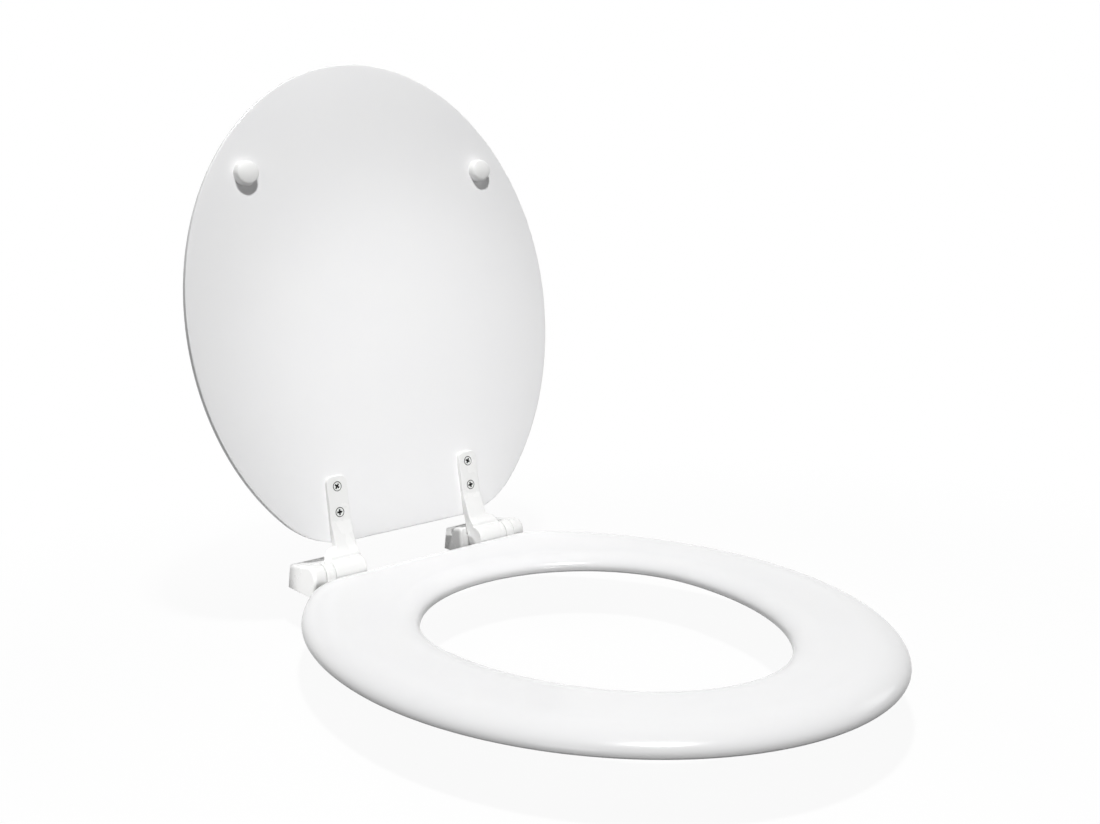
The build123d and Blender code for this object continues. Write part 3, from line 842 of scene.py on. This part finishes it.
class SEAT_OT_bumpers(bpy.types.Operator):
    """Builds the bumpers of lid and ring"""

    bl_idname = "seat.bumpers"
    bl_label = "Bumpers"

    def execute(self, context):
        size = context.scene.seat_sizes
        plastic = material("bumper_plastic")
        values = {"Turn": 0.0, "Finish": plastic, "Recess Finish": plastic}
        button, first = bumper_row(size, "lid_bumper_right", LID_PLACE, LID_LOW.z)
        values.update({"Count": 1, "First Place": first, "Step": (0, 0, 0)})
        mesh = row_pairs("lid_bumpers", button, values, LID_PLACE)
        piece("lid_bumpers", mesh, "lid", "bumper_plastic", "lid_bumper_left", "lid_bumper_right")
        button, first = bumper_row(size, "ring_bumper_front_right", RING_PLACE, RING_LOW.z)
        last = bumper_row(size, "ring_bumper_rear_right", RING_PLACE, RING_LOW.z)[1]
        values.update({"Count": 2, "First Place": first, "Step": last - first})
        mesh = row_pairs("ring_bumpers", button, values, RING_PLACE)
        nodes = [f"ring_bumper_{end}_{side}" for end in ("front", "rear") for side in SIDES]
        piece("ring_bumpers", mesh, "ring", "bumper_plastic", *nodes)
        return {"FINISHED"}


class SEAT_OT_arms(bpy.types.Operator):
    """Builds the hinge arms of lid and ring"""

    bl_idname = "seat.arms"
    bl_label = "Hinge arms"

    def execute(self, context):
        for side in SIDES:
            node = f"lid_arm_{side}"
            mesh = soft_copy(node, voxel=0.36 * MM, rounds=7, place=LID_PLACE)
            piece(f"lid_hinge_arm_{side}", mesh, "lid", "hinge_plastic", node)
            node = f"ring_arm_{side}"
            mesh = soft_copy(node, voxel=0.36 * MM, rounds=5, place=RING_PLACE)
            piece(f"ring_hinge_arm_{side}", mesh, "ring", "hinge_plastic", node)
        return {"FINISHED"}


class SEAT_OT_screws(bpy.types.Operator):
    """Builds the cross-head screws of the arms"""

    bl_idname = "seat.screws"
    bl_label = "Arm screws"

    def execute(self, context):
        size = context.scene.seat_sizes
        mesh = screw_rows(size, "lid_screws_right", LID_PLACE)
        piece("lid_cross_screws", mesh, "lid", "steel", "lid_screws_left", "lid_screws_right")
        mesh = screw_rows(size, "ring_screws_right", RING_PLACE)
        piece("ring_cross_screws", mesh, "ring", "steel", "ring_screws_left", "ring_screws_right")
        return {"FINISHED"}


class SEAT_OT_bases(bpy.types.Operator):
    """Builds the hinge bases and the bolt caps, and finishes the hinge pins"""

    bl_idname = "seat.bases"
    bl_label = "Hinge bases"

    def execute(self, context):
        for side in SIDES:
            node = f"hinge_base_{side}"
            mesh = soft_copy(node, voxel=0.42 * MM, rounds=4)
            piece(f"moulded_base_{side}", mesh, "bases", "hinge_plastic", node)
            node = f"bolt_cap_{side}"
            mesh = soft_copy(node, voxel=0.3 * MM, rounds=3)
            piece(f"moulded_cap_{side}", mesh, f"cap_{side}", "hinge_plastic", node)
            for slot in NODES[f"hinge_pin_{side}"].material_slots:
                slot.material = material("steel")
        return {"FINISHED"}


class SEAT_OT_bolts(bpy.types.Operator):
    """Builds the mounting bolts, washers and wing nuts"""

    bl_idname = "seat.bolts"
    bl_label = "Mounting bolts"

    def execute(self, context):
        size = context.scene.seat_sizes
        for side in SIDES:
            node = f"mounting_bolt_{side}"
            low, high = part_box(node)
            centre_x = (low.x + high.x) / 2
            thread_top = -size.thread_start
            core_share = 0.7
            core_end = low.z + 0.5 * MM
            mesh = soft_copy(node, voxel=0.28 * MM, rounds=3)
            for vert in mesh.vertices:
                if vert.co.z < thread_top:
                    vert.co.x = centre_x + (vert.co.x - centre_x) * core_share
                    vert.co.y *= core_share
                    vert.co.z = max(vert.co.z, core_end)
            mesh.update()
            piece(f"nylon_bolt_{side}", mesh, "bases", "nylon", node)
            thread = threaded_end(size, size.bolt_radius, thread_top, low.z, centre_x)
            piece(f"nylon_thread_{side}", mesh_of(thread, f"bolt_thread_{side}"), "bases", "nylon", node)
            for small in (f"bolt_washer_{side}", f"wing_nut_{side}"):
                mesh = soft_copy(small, voxel=0.32 * MM, rounds=4)
                piece(f"nylon_{small}", mesh, f"nut_{side}", "nylon", small)
        return {"FINISHED"}


class SEAT_OT_stage(bpy.types.Operator):
    """Builds the floor, the light and the camera"""

    bl_idname = "seat.stage"
    bl_label = "Stage"

    def execute(self, context):
        scene = context.scene
        scene.view_settings.view_transform = "Standard"
        build_floor()
        build_light(scene)
        build_camera(scene)
        return {"FINISHED"}


def build_floor():
    """Wide flat sheet just under the wing nuts."""
    mesh = bpy.data.meshes.new("floor")
    reach = 6.0
    level = CAD_BOX[0].z - 0.5 * MM
    corners = ((-reach, -reach), (reach, -reach), (reach, reach), (-reach, reach))
    mesh.from_pydata([(x, y, level) for x, y in corners], [], [(0, 1, 2, 3)])
    mesh.materials.append(material("floor"))
    floor = bpy.data.objects.new("floor", mesh)
    bpy.context.scene.collection.objects.link(floor)


def build_light(scene):
    """A small strong lamp high above the front, weak lamps on both sides and behind, soft spots on the lid's
    two faces and the left base, and dim surroundings that the camera and the reflections see as plain white."""
    world = bpy.data.worlds.new("white_studio")
    scene.world = world
    world.use_nodes = True
    tree = world.node_tree
    tree.nodes.clear()
    seen = seen_rays(tree)
    strength = add(tree, "ShaderNodeMapRange", {"Value": seen, "To Min": 0.06, "To Max": 1.0})
    glow = add(
        tree,
        "ShaderNodeBackground",
        {"Color": (1.0, 1.0, 1.0, 1.0), "Strength": strength.outputs["Result"]},
    )
    add(tree, "ShaderNodeOutputWorld", {"Surface": glow.outputs["Background"]})
    area_lamp("key_lamp", (-0.27, -0.68, 1.5), (0.0, -0.2, 0.1), side=0.12, power=20.5)
    area_lamp("left_lamp", (-1.25, -0.75, 0.6), (0.0, -0.1, 0.1), side=0.5, power=1.6)
    area_lamp("right_lamp", (1.4, -0.7, 0.8), (0.0, -0.15, 0.1), side=0.5, power=1.2)
    rear = area_lamp("rear_lamp", (0.1, 1.7, 0.24), (0.0, 0.0, 0.22), side=0.8, power=6.0)
    rear_spot = spot_lamp("rear_spot", (0.2, 1.75, 0.62), (0.0, 0.03, 0.27), cone=22, radius=0.2, power=62.0)
    spot_lamp("lid_spot", (-0.55, -1.55, 0.42), (0.02, -0.01, 0.16), cone=16, radius=0.06, power=34.0)
    spot_lamp("base_spot", (-1.1, -0.1, 0.1), (-0.1, -0.018, 0.01), cone=4, radius=0.005, power=31.0)
    # The rear lamps would show as white patches on the ring.
    for hidden in (rear, rear_spot):
        hidden.visible_glossy = False


def lamp(name, kind, place, target, power):
    """Lamp that looks from its place to a target and stays out of the picture."""
    data = bpy.data.lights.new(name, kind)
    data.energy = power
    made = bpy.data.objects.new(name, data)
    made.location = place
    made.rotation_euler = (Vector(target) - Vector(place)).to_track_quat("-Z", "Y").to_euler()
    made.visible_camera = False
    bpy.context.scene.collection.objects.link(made)
    return made


def area_lamp(name, place, target, side, power):
    """Square lamp with sides of a length in metres."""
    made = lamp(name, "AREA", place, target, power)
    made.data.shape = "SQUARE"
    made.data.size = side
    return made


def spot_lamp(name, place, target, cone, radius, power):
    """Spot whose light fades evenly from the middle of its cone, given in degrees, to the rim."""
    made = lamp(name, "SPOT", place, target, power)
    made.data.spot_size = math.radians(cone)
    made.data.spot_blend = 1.0
    made.data.shadow_soft_size = radius
    return made


def build_camera(scene):
    """Camera from the front left, a little above the ring, with its frame shifted. Angles are in radians."""
    turn, tilt, roll = 0.61, -0.0281, -0.0533
    ahead = Vector((math.sin(turn) * math.cos(tilt), math.cos(turn) * math.cos(tilt), -math.sin(tilt)))
    right = Vector((math.cos(turn), -math.sin(turn), 0.0))
    up = right.cross(ahead)
    right, up = right * math.cos(roll) + up * math.sin(roll), up * math.cos(roll) - right * math.sin(roll)
    place = Vector((-0.5142, -0.8169, 0.2761))
    data = bpy.data.cameras.new("camera")
    data.sensor_width = SENSOR_WIDTH
    data.lens = SENSOR_WIDTH * FOCAL_PIXELS / PICTURE_WIDTH
    data.shift_x = (PICTURE_WIDTH / 2 - LOOK_X) / PICTURE_WIDTH
    data.shift_y = (LOOK_Y - PICTURE_HEIGHT / 2) / PICTURE_WIDTH
    data.clip_start = 0.02
    camera = bpy.data.objects.new("camera", data)
    columns = (right, up, -ahead)
    camera.matrix_world = Matrix.Translation(place) @ Matrix(columns).transposed().to_4x4()
    scene.collection.objects.link(camera)
    scene.camera = camera


STEPS = (
    SEAT_OT_ring,
    SEAT_OT_lid,
    SEAT_OT_bumpers,
    SEAT_OT_arms,
    SEAT_OT_screws,
    SEAT_OT_bases,
    SEAT_OT_bolts,
    SEAT_OT_stage,
)


class SEAT_PT_panel(bpy.types.Panel):
    """Lists the seat's building steps, sizes and colours"""

    bl_idname = "SEAT_PT_panel"
    bl_label = "Toilet Seat"
    bl_space_type = "VIEW_3D"
    bl_region_type = "UI"
    bl_category = "Toilet Seat"

    def draw(self, context):
        column = self.layout.column(align=True)
        for step in STEPS:
            column.operator(step.bl_idname)
        for group in (context.scene.seat_sizes, context.scene.seat_finish):
            box = self.layout.box()
            for name in group.__annotations__:
                box.prop(group, name)


CLASSES = (SeatSizes, SeatFinish, *STEPS, SEAT_PT_panel)


def register():
    for kind in CLASSES:
        bpy.utils.register_class(kind)
    bpy.types.Scene.seat_sizes = bpy.props.PointerProperty(type=SeatSizes)
    bpy.types.Scene.seat_finish = bpy.props.PointerProperty(type=SeatFinish)


def unregister():
    del bpy.types.Scene.seat_finish
    del bpy.types.Scene.seat_sizes
    for kind in reversed(CLASSES):
        bpy.utils.unregister_class(kind)


def main():
    register()
    bpy.ops.seat.ring()
    bpy.ops.seat.lid()
    bpy.ops.seat.bumpers()
    bpy.ops.seat.arms()
    bpy.ops.seat.screws()
    bpy.ops.seat.bases()
    bpy.ops.seat.bolts()
    bpy.ops.seat.stage()


if __name__ == "__main__":
    main()
